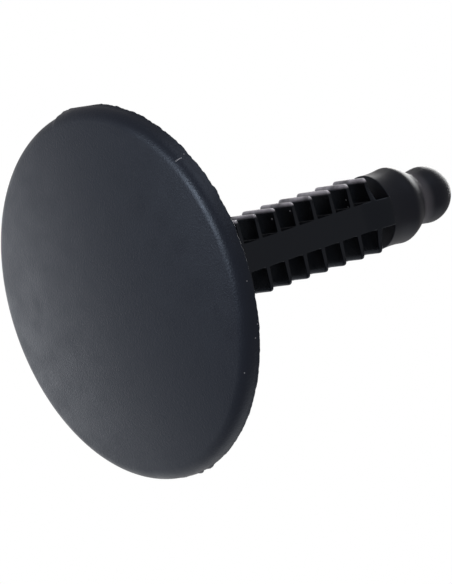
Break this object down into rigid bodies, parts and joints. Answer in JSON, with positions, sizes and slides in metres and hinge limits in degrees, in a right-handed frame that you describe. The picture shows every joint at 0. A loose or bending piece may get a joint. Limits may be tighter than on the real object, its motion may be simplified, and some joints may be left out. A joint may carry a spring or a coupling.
{
  "type": "push-in retainer clip",
  "caption": "One-piece moulded plastic push-in retainer: wide shallow domed head, ladder shank with thin fins on a flat spine, round nose with a domed pilot tip.",
  "frame": {"origin": "lowest point of the head's dome, on the shank's axis", "axes": "+Z along the shank's axis from the head to the pilot tip, X across the fins, Y from the shank's front face to its back face"},
  "size_m": [0.03, 0.03, 0.0365],
  "materials": {
    "black_plastic": "fine matte moulded grain"
  },
  "bodies": {
    "root": {"retainer_clip": "black_plastic"}
  },
  "joints": []
}
